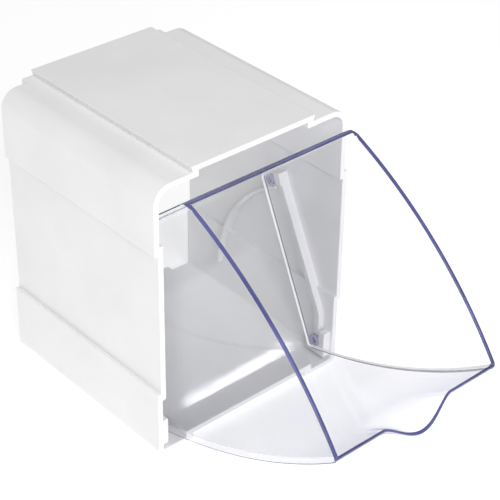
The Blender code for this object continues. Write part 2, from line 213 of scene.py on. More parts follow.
def rounded(corners, step_angle=math.radians(6)):
    """The outline through corners of (a, b, radius), each corner with its fillet."""
    outline = []
    for i, (a, b, radius) in enumerate(corners):
        here = Vector((a, b))
        if radius <= 0:
            outline.append(here)
            continue
        before = (Vector(corners[i - 1][:2]) - here).normalized()
        after = (Vector(corners[(i + 1) % len(corners)][:2]) - here).normalized()
        half_angle = before.angle(after) / 2
        centre = here + (before + after).normalized() * radius / math.sin(half_angle)
        start = here + before * radius / math.tan(half_angle) - centre
        turn = math.pi - 2 * half_angle
        if before.cross(after) > 0:
            turn = -turn
        steps = max(2, math.ceil(abs(turn) / step_angle))
        for step in range(steps + 1):
            outline.append(centre + Matrix.Rotation(turn * step / steps, 2) @ start)
    return outline


def bowed(start, end, bulge, steps):
    """Points between start and end, without the ends, on an arc that bows out to the right by bulge."""
    start, end = Vector(start), Vector(end)
    along = end - start
    out = Vector((along.y, -along.x)).normalized()
    radius = (along.length**2 / 4 + bulge**2) / (2 * bulge)
    centre = (start + end) / 2 + out * (bulge - radius)
    half = math.asin(along.length / 2 / radius)
    unit = along.normalized()
    angles = [half * (2 * step / steps - 1) for step in range(1, steps)]
    return [centre + out * radius * math.cos(angle) + unit * radius * math.sin(angle) for angle in angles]


def inset(outline, distance):
    """The closed outline moved inwards by distance, with mitred corners."""
    moved = []
    for i, here in enumerate(outline):
        before = (here - outline[i - 1]).normalized()
        after = (outline[(i + 1) % len(outline)] - here).normalized()
        inward_before = Vector((-before.y, before.x))
        inward_after = Vector((-after.y, after.x))
        mitre = (inward_before + inward_after).normalized()
        moved.append(here + mitre * distance / mitre.dot(inward_after))
    return moved


def on_circle(centre, radius, angle):
    return Vector((centre[0] + radius * math.cos(angle), centre[1] + radius * math.sin(angle)))


def swing_path():
    """Distance from the pivot peg to the guide peg, read from the frame."""
    pivot, guide = (middle(*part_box(f"right_{kind}_peg")) for kind in ("pivot", "guide"))
    return math.hypot(guide.y - pivot.y, guide.z - pivot.z)


def peg_radius():
    low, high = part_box("right_pivot_peg")
    return (high.y - low.y) / 2


def middle(low, high):
    return (low + high) / 2


# ---- objects ----


def face_outwards(work):
    """Turns the faces of a closed shell out."""
    bmesh.ops.recalc_face_normals(work, faces=work.faces)
    if work.calc_volume(signed=True) < 0:
        bmesh.ops.reverse_faces(work, faces=work.faces)


def object_from(work, name):
    """A linked object with the mesh of a bmesh, without its loose points. The bmesh is freed."""
    loose = [vert for vert in work.verts if not vert.link_faces]
    bmesh.ops.delete(work, geom=loose, context="VERTS")
    face_outwards(work)
    mesh = bpy.data.meshes.new(name)
    work.to_mesh(mesh)
    work.free()
    made = bpy.data.objects.new(name, mesh)
    bpy.context.scene.collection.objects.link(made)
    return made


def add_bevel(piece, name, width, limit):
    bevel = piece.modifiers.new(name, "BEVEL")
    bevel.width = width
    bevel.segments = FILLET_SEGMENTS
    bevel.limit_method = limit
    bevel.use_clamp_overlap = False
    bevel.loop_slide = False
    return bevel


def soften(piece, width):
    """Fillets every sharp edge, and keeps the large faces flat."""
    add_bevel(piece, "soft_edges", width, "ANGLE").angle_limit = SHARP
    weigh(piece)


def weigh(piece):
    """Smooth shading that keeps the large faces flat."""
    piece.modifiers.new("flat_faces", "WEIGHTED_NORMAL").keep_sharp = True
    for polygon in piece.data.polygons:
        polygon.use_smooth = True


def baked(piece):
    """The piece with its modifiers turned into a plain mesh."""
    bpy.context.view_layer.update()
    graph = bpy.context.evaluated_depsgraph_get()
    final = piece.evaluated_get(graph)
    mesh = bpy.data.meshes.new_from_object(final, preserve_all_data_layers=True, depsgraph=graph)
    piece.modifiers.clear()
    piece.data = mesh
    return piece


# ---- node trees ----


def put(tree, socket, value):
    """Sets a socket to a value, or links it to another socket."""
    if isinstance(value, bpy.types.NodeSocket):
        tree.links.new(value, socket)
    else:
        socket.default_value = value


def feed(tree, made, **inputs):
    """Sets or links the named inputs of a node."""
    for name, value in inputs.items():
        put(tree, made.inputs[name.replace("_", " ")], value)
    return made


def add_node(tree, kind, **values):
    """A node with its properties, in lower case, and then its inputs, which start with a capital."""
    made = tree.nodes.new(kind)
    for name, value in values.items():
        if name[0].islower():
            setattr(made, name, value)
    return feed(tree, made, **{name: value for name, value in values.items() if name[0].isupper()})


def maths(tree, operation, first, second):
    made = add_node(tree, "ShaderNodeMath", operation=operation)
    put(tree, made.inputs[0], first)
    put(tree, made.inputs[1], second)
    return made.outputs[0]


def noise(tree, scale, **inputs):
    """A grey pattern on the piece's own Object coordinates."""
    where = tree.nodes.get("Texture Coordinate") or tree.nodes.new("ShaderNodeTexCoord")
    made = add_node(tree, "ShaderNodeTexNoise", Vector=where.outputs["Object"], Scale=scale, **inputs)
    return made.outputs["Fac"]


def between(tree, grey, low, high, from_low=0.3, from_high=0.7):
    """Maps a pattern's grey value to a range of numbers."""
    ends = {"From_Min": from_low, "From_Max": from_high, "To_Min": low, "To_Max": high}
    return add_node(tree, "ShaderNodeMapRange", Value=grey, **ends).outputs["Result"]


# A Mix node's sockets share their names with those for numbers, so they are found by place.
MIX_SHARE, MIX_FIRST, MIX_SECOND = 0, 6, 7
MIX_RESULT = 2


def blend_colours(tree, share, first, second, blend_type="MIX"):
    made = add_node(tree, "ShaderNodeMix", data_type="RGBA", blend_type=blend_type)
    for index, value in ((MIX_SHARE, share), (MIX_FIRST, first), (MIX_SECOND, second)):
        put(tree, made.inputs[index], value)
    return made.outputs[MIX_RESULT]


def mottled(tree, grey, shade, darkest, lightest):
    """A shade that a pattern makes a little darker and lighter."""
    whole = between(tree, grey, 0.0, 1.0)
    return blend_colours(tree, whole, shade_of(shade, darkest), shade_of(shade, lightest))


def shade_of(rgb, lightness=1.0):
    return (*(min(channel * lightness, 1.0) for channel in rgb), 1.0)


def new_material(name):
    material = bpy.data.materials.new(name)
    material.use_nodes = True
    tree = material.node_tree
    return material, tree, tree.nodes["Principled BSDF"]


def moulded_white(shade):
    """Satin moulded plastic: faint flow mottling, a fine spark-eroded grain and uneven gloss."""
    material, tree, shader = new_material("moulded_white")
    cloud = mottled(tree, noise(tree, 22.0, Detail=3.0, Roughness=0.55), shade, 0.972, 1.02)
    speck = noise(tree, 900.0, Detail=2.0)
    speck_share = 0.035
    grain = between(tree, speck, 0.0, 1.0)
    bump = add_node(tree, "ShaderNodeBump", Strength=0.12, Distance=0.00012, Height=grain)
    feed(
        tree,
        shader,
        Base_Color=blend_colours(tree, speck_share, cloud, speck, "MULTIPLY"),
        Roughness=between(tree, noise(tree, 160.0, Detail=4.0), 0.38, 0.50),
        Normal=bump.outputs["Normal"],
        IOR=1.5,
    )
    return material


def clear_wall(tint, slant_tint):
    """Polished clear plastic: it tints what is behind it, more where it is seen along its length."""
    material, tree, shader = new_material("clear_wall")
    tree.nodes.remove(shader)
    facing = add_node(tree, "ShaderNodeLayerWeight", Blend=0.5).outputs["Facing"]
    faint = mottled(tree, noise(tree, 14.0, Detail=2.0), tint, 0.992, 1.012)
    passed = blend_colours(tree, maths(tree, "POWER", facing, 7.0), faint, shade_of(slant_tint))
    through = add_node(tree, "ShaderNodeBsdfTransparent", Color=passed)
    gloss = between(tree, noise(tree, 60.0, Detail=3.0), 0.03, 0.065)
    mirror = add_node(tree, "ShaderNodeBsdfGlossy", Roughness=gloss)
    bounce_face_on, bounce_at_edge = 0.035, 0.25
    steep = maths(tree, "POWER", facing, 5.0)
    bounce = between(tree, steep, bounce_face_on, bounce_at_edge, 0.0, 1.0)
    mixed = tree.nodes.new("ShaderNodeMixShader")
    for socket, value in zip(mixed.inputs, (bounce, through.outputs["BSDF"], mirror.outputs["BSDF"])):
        put(tree, socket, value)
    feed(tree, tree.nodes["Material Output"], Surface=mixed.outputs["Shader"])
    return material


def painted_edge_light(name, deep, light, alpha, ior=1.5):
    """Painted light on an edge of clear plastic: a colour from deep to light, as opaque as alpha, painted
    where light that has run along the plastic comes out blue-violet at the end of a wall, or as a dark line
    or highlight along a fold; brighter streaks are painted highlights.
    """
    material, tree, shader = new_material(name)
    long_way = between(tree, noise(tree, 16.0, Detail=1.5), 0.0, 1.0, 0.35, 0.68)
    body = blend_colours(tree, long_way, shade_of(deep), shade_of(light))
    # painted highlights: brighter streaks along the edge, which also vary its gloss
    highlight_streak = noise(tree, 130.0, Detail=2.0)
    feed(
        tree,
        shader,
        Base_Color=blend_colours(tree, between(tree, highlight_streak, 0.0, 0.35), body, shade_of(light, 1.25)),
        Roughness=between(tree, highlight_streak, 0.07, 0.16),
        IOR=ior,
        Alpha=alpha,
    )
    return material


def plastic_of(context):
    """The white plastic, made once for all that wear it."""
    return bpy.data.materials.get("moulded_white") or moulded_white(context.scene.tilt_housing.shade)


# ---- Geometry Nodes ----


def new_geometry_tree(name, sizes):
    """A geometry tree with a Geometry input and output and one named distance input for each size."""
    tree = bpy.data.node_groups.new(name, "GeometryNodeTree")
    tree.interface.new_socket("Geometry", in_out="INPUT", socket_type="NodeSocketGeometry")
    for size in sizes:
        socket = tree.interface.new_socket(size, in_out="INPUT", socket_type="NodeSocketFloat")
        socket.subtype = "DISTANCE"
    tree.interface.new_socket("Material", in_out="INPUT", socket_type="NodeSocketMaterial")
    tree.interface.new_socket("Geometry", in_out="OUTPUT", socket_type="NodeSocketGeometry")
    return tree, tree.nodes.new("NodeGroupInput"), tree.nodes.new("NodeGroupOutput")


def finish_tree(tree, start, end, geometry):
    """Ends a tree in Realize Instances and Set Material."""
    realised = add_node(tree, "GeometryNodeRealizeInstances", Geometry=geometry)
    painted = add_node(
        tree,
        "GeometryNodeSetMaterial",
        Geometry=realised.outputs["Geometry"],
        Material=start.outputs["Material"],
    )
    tree.links.new(painted.outputs["Geometry"], end.inputs["Geometry"])


def rounded_profile(tree, width, height, fillet):
    """A rectangle with filleted corners, as a curve."""
    box = add_node(tree, "GeometryNodeCurvePrimitiveQuadrilateral", Width=width, Height=height)
    return filleted(tree, box.outputs["Curve"], Count=4, Radius=fillet)


def filleted(tree, curve, **inputs):
    corners = add_node(tree, "GeometryNodeFilletCurve", mode="POLY", Curve=curve, **inputs)
    return corners.outputs["Curve"]


def moulded_strip_tree():
    """Sweeps a soft-edged rectangle along a path that lies in a plane of constant X."""
    sizes = ("Thickness", "Depth", "Fillet", "Bend Radius")
    tree, start, end = new_geometry_tree("Moulded Strip", sizes)
    thickness, depth, fillet, bend_radius = (start.outputs[size] for size in sizes)
    path = add_node(tree, "GeometryNodeMeshToCurve", Mesh=start.outputs["Geometry"])
    bent = filleted(tree, path.outputs["Curve"], Count=8, Radius=bend_radius, Limit_Radius=True)
    level = add_node(tree, "GeometryNodeSetCurveNormal", mode="FREE", Curve=bent, Normal=(1.0, 0.0, 0.0))
    swept = add_node(
        tree,
        "GeometryNodeCurveToMesh",
        Curve=level.outputs["Curve"],
        Profile_Curve=rounded_profile(tree, depth, thickness, fillet),
        Fill_Caps=True,
    )
    finish_tree(tree, start, end, swept.outputs["Mesh"])
    return tree


def peg_tree():
    """A hollow peg with a soft rim at each point, its axis along X."""
    sizes = ("Radius", "Bore", "Length", "Fillet")
    tree, start, end = new_geometry_tree("Hollow Peg", sizes)
    tree.interface.new_socket("Sides", in_out="INPUT", socket_type="NodeSocketInt")
    radius, bore, peg_length, fillet = (start.outputs[size] for size in sizes)
    mean = maths(tree, "MULTIPLY", maths(tree, "ADD", radius, bore), 0.5)
    ring = add_node(
        tree, "GeometryNodeCurvePrimitiveCircle", Resolution=start.outputs["Sides"], Radius=mean
    )
    wall = maths(tree, "SUBTRACT", radius, bore)
    tube = add_node(
        tree,
        "GeometryNodeCurveToMesh",
        Curve=ring.outputs["Curve"],
        Profile_Curve=rounded_profile(tree, wall, peg_length, fillet),
    )
    turned = add_node(
        tree,
        "GeometryNodeTransform",
        Geometry=tube.outputs["Mesh"],
        Rotation=Euler((0.0, math.pi / 2, 0.0)),
    )
    places = add_node(tree, "GeometryNodeMeshToPoints", Mesh=start.outputs["Geometry"])
    pegs = add_node(
        tree,
        "GeometryNodeInstanceOnPoints",
        Points=places.outputs["Points"],
        Instance=turned.outputs["Geometry"],
    )
    finish_tree(tree, start, end, pegs.outputs["Instances"])
    return tree


def grown(name, points, tree, material, joined, **sizes):
    """A plain mesh that a geometry tree grows from points, which are joined in a line or stand alone."""
    mesh = bpy.data.meshes.new(name)
    mesh.from_pydata(points, [(i, i + 1) for i in range(len(points) - 1)] if joined else [], [])
    piece = bpy.data.objects.new(name, mesh)
    bpy.context.scene.collection.objects.link(piece)
    modifier = piece.modifiers.new("grow", "NODES")
    modifier.node_group = tree
    inputs = [item for item in tree.interface.items_tree if item.in_out == "INPUT"]
    sockets = {item.name.replace(" ", "_"): item.identifier for item in inputs}
    for size, value in {"Material": material, **sizes}.items():
        modifier[sockets[size]] = value
    baked(piece)
    if not piece.data.polygons:
        raise RuntimeError(f"{name} came out empty")
    return outward(piece)


def outward(piece):
    """Merges doubles and turns the faces out."""
    work = bmesh.new()
    work.from_mesh(piece.data)
    bmesh.ops.remove_doubles(work, verts=work.verts, dist=MERGE_DISTANCE)
    face_outwards(work)
    work.to_mesh(piece.data)
    work.free()
    return piece


# ---- housing ----


class HousingPlan:
    """The section of the housing in the frame's X and Z, and its places along Y."""

    def __init__(self, settings):
        self.s = settings
        self.left = HOUSING_LOW.x
        self.right = HOUSING_HIGH.x - settings.side_rail
        self.middle = (self.left + self.right) / 2
        self.half = (self.right - self.left) / 2
        self.top = HOUSING_HIGH.z - settings.top_rail
        self.front = HOUSING_LOW.y
        self.rear = HOUSING_HIGH.y - settings.tab_length
        self.rail_half = settings.rail_width / 2
        self.side_high = self.top - settings.side_below_top
        self.side_face = self.half - settings.wall
        self.groove_face = self.side_face - settings.side_rail - settings.rail_clearance
        self.tab = settings.tab_width / 2

    def outer(self):
        s = self.s
        mouth = self.rail_half - s.top_undercut + s.rail_clearance
        seat = self.rail_half + s.rail_clearance
        seat_height = s.top_rail + s.rail_clearance
        groove_x = -self.half + s.side_rail + s.rail_clearance
        groove_low = s.side_low - s.rail_clearance
        groove_high = self.side_high + s.rail_clearance
        rail_foot = self.rail_half - s.top_undercut
        return [
            (-self.half, 0, s.base_radius),
            (-mouth, 0, 0),
            (-seat, seat_height, 0),
            (seat, seat_height, 0),
            (mouth, 0, 0),
            (self.half, 0, s.base_radius),
            (self.half, s.side_low + s.side_undercut, 0),
            (self.half + s.side_rail, s.side_low, 0),
            (self.half + s.side_rail, self.side_high, 0),
            (self.half, self.side_high - s.side_undercut, 0),
            (self.half, self.top, s.top_radius),
            (self.tab, self.top, 0),
            (rail_foot, self.top, 0),
            (self.rail_half, self.top + s.top_rail, 0),
            (-self.rail_half, self.top + s.top_rail, 0),
            (-rail_foot, self.top, 0),
            (-self.tab, self.top, 0),
            (-self.half, self.top, s.top_radius),
            (-self.half, groove_high - s.side_undercut, 0),
            (groove_x, groove_high, 0),
            (groove_x, groove_low, 0),
            (-self.half, groove_low + s.side_undercut, 0),
        ]

    def inner(self):
        s = self.s
        side = self.side_face
        raised_floor = s.wall + s.top_rail + s.rail_clearance
        ceiling = self.top - s.wall
        raised = ceiling + s.top_rail
        floor_step = self.rail_half + s.step_overlap
        ceiling_step = self.rail_half - s.step_overlap
        right = side + s.side_rail
        left = -self.groove_face
        base_radius = s.base_radius - s.wall
        top_radius = s.top_radius - s.wall
        return [
            (-side, s.wall, base_radius),
            (-floor_step, s.wall, 0),
            (-floor_step, raised_floor, 0),
            (floor_step, raised_floor, 0),
            (floor_step, s.wall, 0),
            (side, s.wall, base_radius),
            (side, s.side_low + s.step_overlap, 0),
            (right, s.side_low + s.step_overlap, 0),
            (right, self.side_high - s.step_overlap, 0),
            (side, self.side_high - s.step_overlap, 0),
            (side, ceiling, top_radius),
            (self.tab, ceiling, 0),
            (ceiling_step, ceiling, 0),
            (ceiling_step, raised, 0),
            (-ceiling_step, raised, 0),
            (-ceiling_step, ceiling, 0),
            (-self.tab, ceiling, 0),
            (-side, ceiling, top_radius),
            (-side, self.side_high + s.step_overlap, 0),
            (left, self.side_high + s.step_overlap, 0),
            (left, s.side_low - s.step_overlap, 0),
            (-side, s.side_low - s.step_overlap, 0),
        ]


def build_housing(plan):
    """The open-ended tube: its outer and inner outlines swept from front to rear, with the tab behind."""
    outlines = [rounded(plan.outer()), rounded(plan.inner())]
    count = len(outlines[0])
    work = bmesh.new()

    def ring(outline, y):
        return [work.verts.new((plan.middle + point.x, y, point.y)) for point in outline]

    fronts = [ring(outline, plan.front) for outline in outlines]
    plains = [ring(outline, plan.rear) for outline in outlines]
    tabs = [ring(outline, HOUSING_HIGH.y) for outline in outlines]

    def in_tab(i):
        """True where the wall from point i to the next one belongs to the tab."""
        a, b = outlines[0][i], outlines[0][(i + 1) % count]
        across = max(abs(a.x), abs(b.x)) <= plan.tab + SAME_PLACE
        return across and min(a.y, b.y) > plan.top - SAME_PLACE

    for i in range(count):
        k = (i + 1) % count
        here_in = in_tab(i)
        work.faces.new((fronts[0][i], fronts[0][k], fronts[1][k], fronts[1][i]))
        rears = tabs if here_in else plains
        work.faces.new((rears[0][k], rears[0][i], rears[1][i], rears[1][k]))
        starts_tab = here_in and not in_tab(i - 1)
        ends_tab = here_in and not in_tab(k)
        for side in (0, 1):
            loop = [fronts[side][i], fronts[side][k]]
            if ends_tab:
                loop.append(plains[side][k])
            loop += [rears[side][k], rears[side][i]]
            if starts_tab:
                loop.append(plains[side][i])
            work.faces.new(loop)
        for edge, wanted in ((i, starts_tab), (k, ends_tab)):
            if wanted:
                work.faces.new((plains[0][edge], tabs[0][edge], tabs[1][edge], plains[1][edge]))
    return object_from(work, "moulded_housing")


class TILTBIN_OT_housing(bpy.types.Operator):
    """Build the open-ended housing with its rails, grooves and rear tab"""

    bl_idname = "tiltbin.housing"
    bl_label = "Housing"

    def execute(self, context):
        settings = context.scene.tilt_housing
        housing = build_housing(HousingPlan(settings))
        soften(housing, settings.edge_fillet)
        housing.data.materials.append(plastic_of(context))
        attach(housing, "housing_body")
        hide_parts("housing")
        return {"FINISHED"}


# ---- guides ----


HOOK_DEGREES = range(330, 149, -6)  # round the pivot peg, from its rear under it to its front
CURVED_RAIL_DEGREES = range(4, 64)


class GuidePlan:
    """Where the guides of one side stand: outlines in Y and Z, and their reach along X."""

    def __init__(self, guides, housing, tray, sign):
        plan = HousingPlan(housing)
        self.g = guides
        self.sign = sign
        self.centre = plan.middle
        self.pivot = Vector((PIVOT.y, PIVOT.z))
        self.near = (BIN_HIGH.x - BIN_LOW.x) / 2 + guides.side_clearance
        plain = plan.side_face + guides.root
        self.far = plain if sign < 0 else plain + housing.side_rail
        self.path = swing_path()
        self.peg = peg_radius()
        past_peg = self.peg + guides.block_clearance + guides.block / 2
        self.stop_mid = tray.open_tilt + past_peg / self.path
        self.floor = housing.wall

    def at(self, point, x):
        return (self.centre + self.sign * x, point.x, point.y)

    def line(self, points, near):
        """Points on the middle plane of a strip whose face is at near."""
        return [self.at(point, (near + self.far) / 2) for point in points]


def strip_sizes(plan, thickness, near, bend_radius):
    return {
        "Thickness": thickness,
        "Depth": plan.far - near,
        "Fillet": plan.g.edge_fillet,
        "Bend_Radius": bend_radius,
    }


def socket_outline(plan):
    """A hook that holds the pivot peg from the front and from below."""
    g = plan.g
    bore = plan.peg + g.socket_clearance
    front = plan.pivot.x - bore - g.socket_wall
    bottom = plan.floor + g.socket_lift
    bore_arc = [on_circle(plan.pivot, bore, math.radians(angle)) for angle in HOOK_DEGREES]
    back = plan.pivot.x + bore + g.socket_wall
    top = plan.pivot.y + bore + g.socket_wall
    corners = [(front, bottom), (back, bottom), (back, bore_arc[0].y)]
    return [*map(Vector, corners), *bore_arc, Vector((bore_arc[-1].x, top)), Vector((front, top))]


def build_socket(plan, name):
    work = bmesh.new()
    ends = [
        [work.verts.new(plan.at(point, x)) for point in socket_outline(plan)] for x in (plan.near, plan.far)
    ]
    for i in range(len(ends[0])):
        k = (i + 1) % len(ends[0])
        work.faces.new((ends[0][i], ends[0][k], ends[1][k], ends[1][i]))
    work.faces.new(ends[0])
    work.faces.new(ends[1])
    return object_from(work, name)


class TILTBIN_OT_guides(bpy.types.Operator):
    """Build the peg hooks, stop rails, stop blocks and curved rails of both side walls"""

    bl_idname = "tiltbin.guides"
    bl_label = "Guides"

    def execute(self, context):
        scene = context.scene
        guides = scene.tilt_guides
        plastic = plastic_of(context)
        tree = moulded_strip_tree()
        for side, sign in SIDES:
            plan = GuidePlan(guides, scene.tilt_housing, scene.tilt_bin, sign)
            rail_face = plan.near + guides.set_back
            socket = build_socket(plan, f"{side}_hook")
            soften(socket, guides.edge_fillet)
            socket.data.materials.append(plastic)
            rail, block, arc = (
                grown(
                    f"{side}_{name}",
                    plan.line(path, face),
                    tree,
                    plastic,
                    joined=True,
                    **strip_sizes(plan, thickness, face, bend_radius),
                )
                for name, path, thickness, face, bend_radius in (
                    ("stop_strip", self.rail_path(plan), guides.strip, rail_face, guides.bend_radius),
                    ("stop_block", self.block_path(plan), guides.block, plan.near, 0.0),
                    ("curved_strip", self.arc_path(plan), guides.arc_strip, rail_face, 0.0),
                )
            )
            for piece in (rail, block, arc):
                weigh(piece)
            for piece in (socket, rail, block, arc):
                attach(piece, "housing_body")
            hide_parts(f"{side}_pivot_socket")
            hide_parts(f"{side}_stop_rail")
            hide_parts(f"{side}_stop_rail")
            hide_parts(f"{side}_arc_rail")
        return {"FINISHED"}

    @staticmethod
    def rail_path(plan):
        """From just above the pivot peg to the middle of the stop block."""
        g = plan.g
        return [
            plan.pivot + Vector((0, g.foot)),
            plan.pivot + Vector((0, g.bend)),
            on_circle(plan.pivot, plan.path - g.block_height / 4, plan.stop_mid),
        ]

    @staticmethod
    def block_path(plan):
        half = plan.g.block_height / 2
        return [on_circle(plan.pivot, plan.path + reach, plan.stop_mid) for reach in (-half, half)]

    @staticmethod
    def arc_path(plan):
        """The curve inside the guide peg's path."""
        g = plan.g
        centre = plan.pivot + Vector((-g.arc_back, g.arc_up))
        radius = plan.path - plan.peg - g.arc_clearance - g.arc_strip / 2
        return [on_circle(centre, radius, math.radians(angle)) for angle in CURVED_RAIL_DEGREES]


# ---- bin ----

# The rim and fold slots hold painted light: the rim's painted glow, a painted dark line at the outer folds
# and a painted highlight at the inner ones.
WALL_SLOT, RIM_SLOT, OUTER_FOLD_SLOT, INNER_FOLD_SLOT = range(4)
# Painted shade: a dark grey line along the outer folds of the clear walls
OUTER_FOLD_SHADE = {"deep": (0.10, 0.10, 0.15), "light": (0.20, 0.20, 0.26), "alpha": 0.72, "ior": 1.12}
# Painted highlight: a near-white line along the inner folds of the clear walls
INNER_FOLD_HIGHLIGHT = {"deep": (0.86, 0.86, 0.90), "light": (0.97, 0.97, 0.98), "alpha": 0.8}
RIM_BAND = 0.006  # how far below its straight line the rim's outline may lie
PAST_RIM = 0.02  # how far the inside's outline runs on above the rim
RIM_FACING = 0.5  # least share of a part's outward direction that points out of the mouth
SAME_PLANE = 0.0003


class BinPlan:
    """The bin in its own Y and Z, pivot at the origin and floor level, and its place when open."""

    def __init__(self, settings):
        self.s = settings
        self.half = (BIN_HIGH.x - BIN_LOW.x) / 2
        self.middle = (BIN_HIGH.x + BIN_LOW.x) / 2

    def corners(self):
        s = self.s
        closed_back = HOUSING_HIGH.y - bpy.context.scene.tilt_housing.tab_length - PIVOT.y
        back_angle = math.acos((closed_back + s.back_overhang) / s.back_reach) - s.closed_tilt
        heel = Vector((-s.peg_seat, -s.peg_seat))
        floor_back = Vector((s.floor_length, -s.peg_seat))
        front_top = Vector((-s.front_lean, s.front_reach))
        return heel, floor_back, on_circle((0, 0), s.back_reach, back_angle), front_top

    def outer(self):
        """The outline of the side, from the heel along the floor, back, rim and front."""
        s = self.s
        heel, floor_back, back_top, front_top = self.corners()
        rim = bowed(back_top, front_top, s.rim_bulge, BOW_STEPS)
        front = bowed(front_top, heel, s.front_bulge, BOW_STEPS)
        return rounded(
            [
                (*heel, s.heel_radius),
                (*floor_back, s.floor_radius),
                (*back_top, s.back_radius),
                *((*point, 0) for point in rim),
                (*front_top, s.front_radius),
                *((*point, 0) for point in front),
            ]
        )

    def inner(self):
        """The inside from the back wall's mouth to the front wall's, both running on past the rim."""
        s = self.s
        heel, floor_back, back_top, front_top = self.corners()
        front = bowed(front_top, heel, s.front_bulge, BOW_STEPS)
        walls = inset([heel, floor_back, back_top, front_top, *front], s.wall)
        up_the_back = (walls[2] - walls[1]).normalized()
        up_the_front = (walls[3] - walls[4]).normalized()
        return rounded(
            [
                (*walls[0], s.heel_radius / 2),
                (*walls[1], s.floor_radius - s.wall),
                (*(walls[2] + up_the_back * PAST_RIM), 0),
                (*(walls[3] + up_the_front * PAST_RIM), 0),
                *((*point, 0) for point in walls[4:]),
            ]
        )

    def push(self, x):
        """How far the lip carries the front wall outwards at x."""
        s = self.s
        share = min(abs(x) / (s.lip_width / 2), 1)
        return s.lip_reach * (0.5 + 0.5 * math.cos(math.pi * share)) ** s.lip_fullness

    def with_lip(self, point, x):
        s = self.s
        start = s.front_reach - s.lip_depth
        rise = min(max((point.y - start) / s.lip_depth, 0), 1)
        share = rise**2 if point.x < s.floor_length / 2 else 0
        return point - Vector((self.push(x) * share, 0))

    def place(self, x, point):
        """A point of the bin in the frame, with the bin open."""
        turned = Matrix.Rotation(self.s.open_tilt, 2) @ self.with_lip(point, x)
        return (self.middle + x, PIVOT.y + turned.x, PIVOT.z + turned.y)

    def rim_parts(self, outer):
        """For each part of the outline, whether it belongs to the rim."""
        back_top, front_top = self.corners()[2:]
        along = (front_top - back_top).normalized()
        out = Vector((along.y, -along.x))
        parts = []
        for here, after in zip(outer, outer[1:] + outer[:1]):
            run = (after - here).normalized()
            faces_out = Vector((run.y, -run.x)).dot(out) > RIM_FACING
            parts.append(faces_out and (here - back_top).dot(out) > -RIM_BAND)
        return parts

    def on_back(self, edge):
        """Whether an edge runs up the outside of the back wall."""
        into_bin = Matrix.Rotation(-self.s.open_tilt, 2)
        floor_back, back_top = self.corners()[1:3]
        out = (back_top - floor_back).normalized().orthogonal()
        ends = [into_bin @ Vector((vert.co.y - PIVOT.y, vert.co.z - PIVOT.z)) for vert in edge.verts]
        level = abs(edge.verts[0].co.x - edge.verts[1].co.x) < SAME_PLACE
        return level and all(abs((end - floor_back).dot(out)) < SAME_PLANE for end in ends)

    def stations(self):
        """Places across the bin, close together over the lip."""
        lip = [self.s.lip_width * (step / LIP_STEPS - 0.5) for step in range(LIP_STEPS + 1)]
        wall_inside = self.half - self.s.wall
        return [-self.half, -wall_inside, *lip, wall_inside, self.half]


def crossing(a, b, c, d):
    """Where segment ab crosses segment cd, as a share of ab, or None."""
    first, second = b - a, d - c
    across = first.cross(second)
    if abs(across) < PARALLEL:
        return None
    t = (c - a).cross(second) / across
    u = (c - a).cross(first) / across
    return t if 0 <= t < 1 and 0 <= u < 1 else None


def split_at_mouth(outer, inner):
    """The outer outline with a point added at the back and front, where the inner one leaves the mouth.

    Also gives the places of the two points, and the inner points from the back round to the front."""
    found = []
    for i in range(len(outer)):
        a, b = outer[i], outer[(i + 1) % len(outer)]
        for k in range(len(inner)):
            share = crossing(a, b, inner[k], inner[(k + 1) % len(inner)])
            if share is not None:
                found.append((i, a + (b - a) * share, k))
    if len(found) != 2:
        raise RuntimeError(f"the inside crosses the rim {len(found)} times, not twice")
    found.sort(key=lambda crossed: -crossed[1].x)
    (back_i, back, back_k), (front_i, front, front_k) = found
    cut, end = back_i + 1, front_i + 1
    whole = [*outer[:cut], back, *outer[cut:end], front, *outer[end:]]
    inside = []
    k = back_k
    while k != front_k:
        inside.append(inner[k])
        k = (k - 1) % len(inner)
    return whole, cut, end + 1, inside


def build_bin(plan):
    """One closed shell: floor, back, front and two sides, open at the mouth.

    The rim's painted glow runs down inside the front, but not past the first part of the wall."""
    outer, back, front, inside = split_at_mouth(plan.outer(), plan.inner())
    down_the_front = inside[-1] - outer[front]
    largest_share = 0.8
    share = min(plan.s.rim_depth / down_the_front.length, largest_share)
    inside.append(outer[front] + down_the_front * share)
    stations = plan.stations()
    last = len(stations) - 1
    work = bmesh.new()
    rings = [[work.verts.new(plan.place(x, point)) for point in outer] for x in stations]
    on_rim = plan.rim_parts(outer)
    count = len(outer)
    for k in range(last):
        over_cavity = 0 < k < last - 1
        for i in range(count):
            if over_cavity and back <= i < front:
                continue
            n = (i + 1) % count
            side = work.faces.new((rings[k][i], rings[k][n], rings[k + 1][n], rings[k + 1][i]))
            side.material_index = RIM_SLOT if on_rim[i] else WALL_SLOT
    work.faces.new(rings[0])
    work.faces.new(rings[last])
    walls = []
    for k in range(1, last):
        points = [work.verts.new(plan.place(stations[k], point)) for point in inside]
        walls.append([rings[k][back], *points, rings[k][front]])
    for ring, following in zip(walls, walls[1:]):
        for i in range(len(ring) - 1):
            lining = work.faces.new((ring[i], ring[i + 1], following[i + 1], following[i]))
            lining.material_index = RIM_SLOT if i == len(ring) - 2 else WALL_SLOT
    for ring, outside in ((walls[0], rings[1]), (walls[-1], rings[last - 1])):
        work.faces.new(ring[:-1] + outside[back + 1 : front + 1][::-1])
    return object_from(work, "clear_bin_shell")


